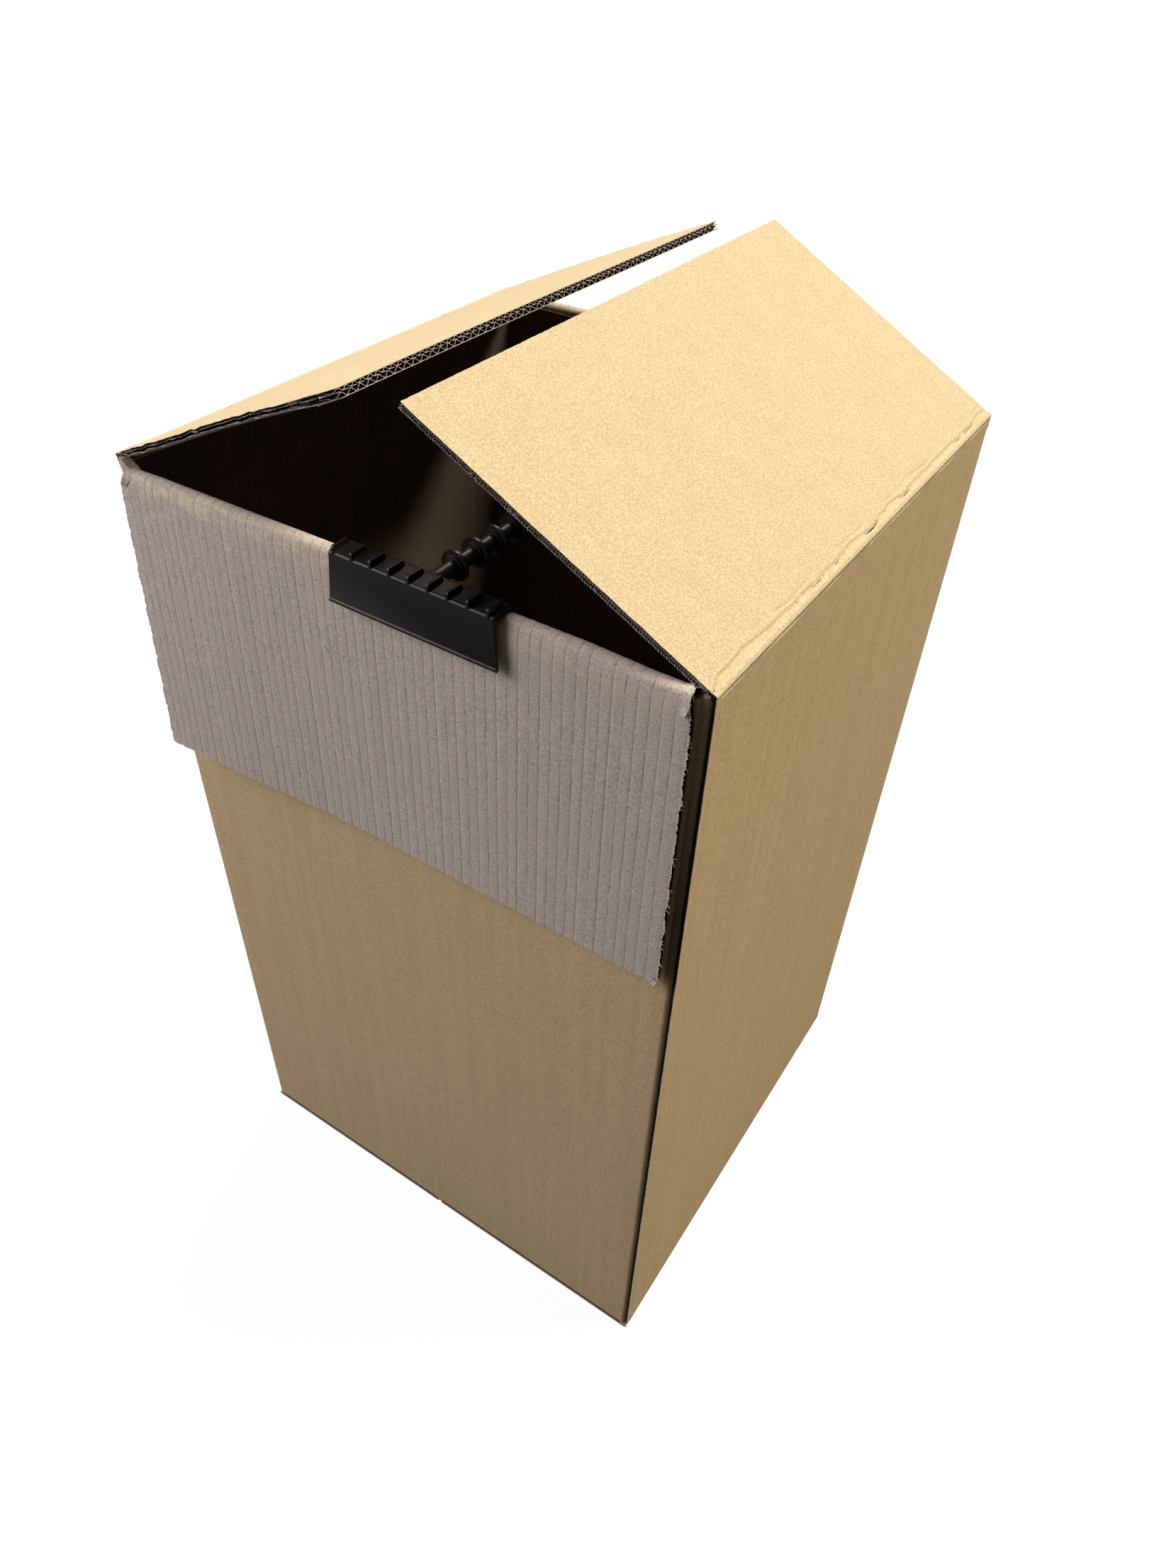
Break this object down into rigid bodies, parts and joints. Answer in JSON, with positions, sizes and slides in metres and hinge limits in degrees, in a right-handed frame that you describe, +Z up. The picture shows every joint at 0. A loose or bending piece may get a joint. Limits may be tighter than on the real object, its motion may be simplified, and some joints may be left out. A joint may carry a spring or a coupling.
{
  "type": "open corrugated cardboard carton with hanging rail",
  "caption": "Tall open double-wall corrugated carton: end flaps folded down outside, side flaps half open on their scores, ribbed plastic hanging rail hooked over the folded ends.",
  "frame": {"origin": "middle of the carton's footprint on the floor", "axes": "+Z up, +X towards the right side flap, -Y towards the near folded-down end flap; the hanging rail runs along Y"},
  "size_m": [0.457, 0.4766, 0.8626],
  "materials": {
    "carton_board": "matte kraft liner",
    "flap_board": "matte kraft liner",
    "rail_plastic": "fine matte grain"
  },
  "bodies": {
    "carton": {"carton": "carton_board", "hanging_rail": "rail_plastic"},
    "left_flap": {"left_flap": "flap_board"},
    "right_flap": {"right_flap": "flap_board"}
  },
  "joints": [
    {"name": "left_flap_fold", "type": "hinge", "parent": "carton", "child": "left_flap", "pos_m": [-0.2285, 0, 0.76], "axis": [0, -1, 0], "range_deg": [-15.5, 240]},
    {"name": "right_flap_fold", "type": "hinge", "parent": "carton", "child": "right_flap", "pos_m": [0.2285, 0, 0.76], "axis": [0, 1, 0], "range_deg": [-18.5, 236.5]}
  ]
}
